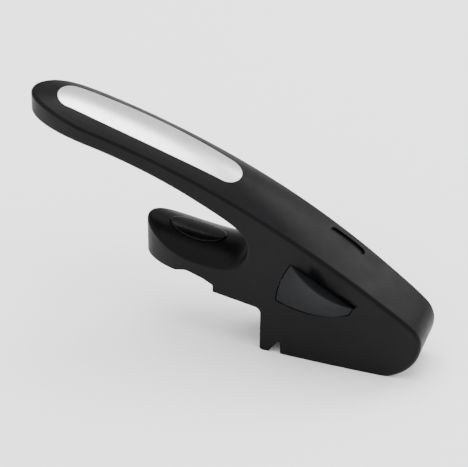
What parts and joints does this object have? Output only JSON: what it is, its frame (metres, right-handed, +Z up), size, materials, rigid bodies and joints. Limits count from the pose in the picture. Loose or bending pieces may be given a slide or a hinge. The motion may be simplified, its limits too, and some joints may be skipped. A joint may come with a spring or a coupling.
{
  "type": "electric can opener",
  "caption": "Cordless hand-held can opener with a curved handle, a steel inlay, a short arm carrying an oval start button, and a deep head with a side release lever.",
  "frame": {"origin": "centre of the flat base face under the head, on the mid-plane", "axes": "+X from the handle towards the head, +Y towards the screwed back cover, +Z up from the base"},
  "size_m": [0.2068, 0.0356, 0.125],
  "materials": {
    "black_shell": "soft-touch matt black moulding",
    "inlay_steel": "satin steel, brushed along its length",
    "gloss_cap": "glossy black",
    "lever_grey": "fine matt dark grey",
    "nylon": "natural nylon",
    "steel": "plain zinc-plated steel",
    "motor_steel": "drawn steel can",
    "tool_steel": "hardened and polished",
    "brass": "turned",
    "spring_wire": "drawn wire",
    "zinc_casting": "die-cast",
    "black_screw": "blackened",
    "board_green": "lacquered board",
    "switch_black": "moulded",
    "cell_wrap": "plain printed sleeve, no lettering",
    "contact_nickel": "nickel-plated",
    "rubber_pad": "moulded"
  },
  "bodies": {
    "housing": {"main_housing": "black_shell", "back_cover": "black_shell", "cover_screws": "black_screw", "inlay_plate": "inlay_steel", "lower_plate": "steel", "upper_plate": "steel", "plate_posts": "steel", "plate_screws": "steel", "gear_axles": "steel", "spindle_bushes": "brass", "motor_case": "motor_steel", "motor_pad": "rubber_pad", "guide_rods": "steel", "guide_bracket": "steel", "lever_pin": "steel", "switch_board": "board_green", "start_switch": "switch_black", "board_screws": "steel", "contact_plates": "contact_nickel", "battery_cell_1": "cell_wrap", "battery_cell_2": "cell_wrap", "carriage_springs": "spring_wire", "lever_spring": "spring_wire", "button_springs": "spring_wire"},
    "battery_door": {"battery_cover": "black_shell"},
    "start_key": {"start_button": "gloss_cap", "button_carrier": "nylon"},
    "release_lever": {"release_lever": "lever_grey", "release_arm": "steel"},
    "cutter_carriage": {"cutter_carriage": "zinc_casting", "cutter_axle": "steel", "release_tongue": "steel"},
    "cutter_wheel": {"cutter_wheel": "tool_steel"},
    "traction_drive": {"drive_spindle": "steel", "traction_wheel": "tool_steel", "output_gear": "steel"},
    "idler_gear": {"idler_gear": "nylon"},
    "second_gear": {"second_gear": "nylon"},
    "first_gear": {"first_gear": "nylon"},
    "motor_rotor": {"motor_shaft": "steel", "motor_pinion": "brass"}
  },
  "joints": [
    {"name": "battery_door_lift_off", "type": "slide", "parent": "housing", "child": "battery_door", "axis": [0, 0, -1], "range_m": [0, 0.012]},
    {"name": "start_key_press", "type": "slide", "parent": "housing", "child": "start_key", "axis": [0, 0, -1], "range_m": [0, 0.0015], "stiffness_N_per_m": 500, "springref_m": -0.002, "deforming": ["button_springs"]},
    {"name": "release_lever_swing", "type": "hinge", "parent": "housing", "child": "release_lever", "pos_m": [-0.01, -0.0134, 0.034], "axis": [-1, 0, 0], "range_deg": [0, 8], "stiffness_Nm_per_rad": 0.12, "springref_deg": -6.88, "deforming": ["lever_spring"]},
    {"name": "cutter_carriage_slide", "type": "slide", "parent": "housing", "child": "cutter_carriage", "axis": [1, 0, 0], "range_m": [0, 0.0021], "deforming": ["carriage_springs"]},
    {"name": "cutter_wheel_spin", "type": "hinge", "parent": "cutter_carriage", "child": "cutter_wheel", "pos_m": [-0.0217, 0, 0.02], "axis": [0, 0, 1], "continuous": true},
    {"name": "traction_drive_spin", "type": "hinge", "parent": "housing", "child": "traction_drive", "pos_m": [-0.0335, 0, 0.02], "axis": [0, 0, 1], "continuous": true},
    {"name": "idler_gear_spin", "type": "hinge", "parent": "housing", "child": "idler_gear", "pos_m": [-0.0155, 0, 0.02], "axis": [0, 0, 1], "continuous": true},
    {"name": "second_gear_spin", "type": "hinge", "parent": "housing", "child": "second_gear", "pos_m": [-0.0023, 0, 0.02], "axis": [0, 0, 1], "continuous": true},
    {"name": "first_gear_spin", "type": "hinge", "parent": "housing", "child": "first_gear", "pos_m": [0.0109, 0, 0.02], "axis": [0, 0, 1], "continuous": true},
    {"name": "motor_rotor_spin", "type": "hinge", "parent": "housing", "child": "motor_rotor", "pos_m": [0.0224, 0, 0.02], "axis": [0, 0, 1], "continuous": true}
  ],
  "couplings": [
    {"joint": "cutter_carriage_slide", "follows": "release_lever_swing", "m_per_rad": 0.014324},
    {"joint": "first_gear_spin", "follows": "motor_rotor_spin", "ratio": -0.27778},
    {"joint": "second_gear_spin", "follows": "motor_rotor_spin", "ratio": 0.081699},
    {"joint": "idler_gear_spin", "follows": "motor_rotor_spin", "ratio": -0.04085},
    {"joint": "traction_drive_spin", "follows": "motor_rotor_spin", "ratio": 0.039074}
  ]
}
